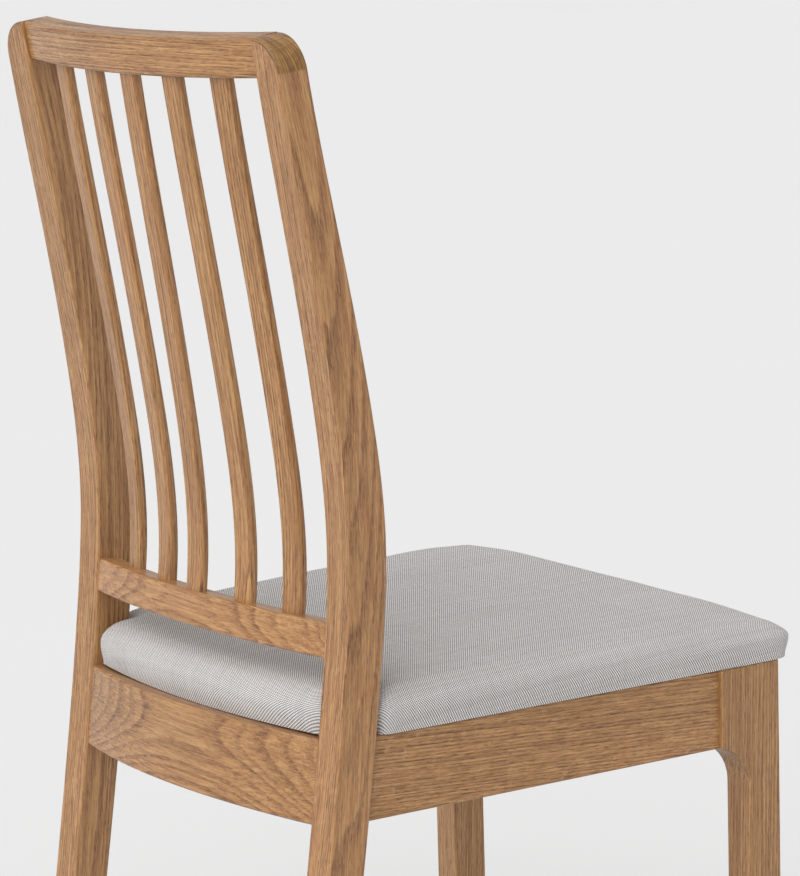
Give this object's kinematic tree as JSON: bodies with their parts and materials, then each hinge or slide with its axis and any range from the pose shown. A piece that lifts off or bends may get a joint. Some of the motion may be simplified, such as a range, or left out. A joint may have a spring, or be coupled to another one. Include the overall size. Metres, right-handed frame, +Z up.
{
  "type": "dining chair",
  "caption": "Armless oak dining chair with an upholstered seat pad and a tall, gently curved slatted back.",
  "frame": {"origin": "on the floor under the middle of the chair's overall box", "axes": "+Z up, +X to the sitter's left, the sitter faces -Y"},
  "size_m": [0.4312, 0.5132, 0.9502],
  "materials": {
    "oak_legs": "satin lacquered oak",
    "oak_rails": "satin lacquered oak",
    "oak_slats": "satin lacquered oak",
    "beech": "plain planed beech",
    "plywood": "unfinished plywood",
    "seat_fabric": "fine two-tone woven polyester",
    "wadding": "soft polyester fleece",
    "foam": "cut polyurethane foam",
    "dust_cloth": "black spunbonded cloth",
    "zinc_steel": "zinc plated",
    "glide_nylon": "off-white nylon"
  },
  "bodies": {
    "root": {"back_dowels": "beech", "brace_screws": "zinc_steel", "cover_staples": "zinc_steel", "crest_rail": "oak_rails", "dust_cloth": "dust_cloth", "front_apron": "oak_rails", "front_brace_left": "beech", "front_brace_right": "beech", "front_leg_left": "oak_legs", "front_leg_right": "oak_legs", "glide_front_left": "glide_nylon", "glide_front_right": "glide_nylon", "glide_rear_left": "glide_nylon", "glide_rear_right": "glide_nylon", "leg_bolt_nuts": "zinc_steel", "leg_bolt_washers": "zinc_steel", "leg_bolts": "zinc_steel", "lower_back_rail": "oak_rails", "rear_apron": "oak_rails", "rear_brace_left": "beech", "rear_brace_right": "beech", "rear_post_left": "oak_legs", "rear_post_right": "oak_legs", "seat_board": "plywood", "seat_cover": "seat_fabric", "seat_foam": "foam", "seat_frame_dowels": "beech", "seat_screws": "zinc_steel", "seat_wadding": "wadding", "side_apron_left": "oak_rails", "side_apron_right": "oak_rails", "slat_1": "oak_slats", "slat_2": "oak_slats", "slat_3": "oak_slats", "slat_4": "oak_slats", "slat_5": "oak_slats"}
  },
  "joints": []
}
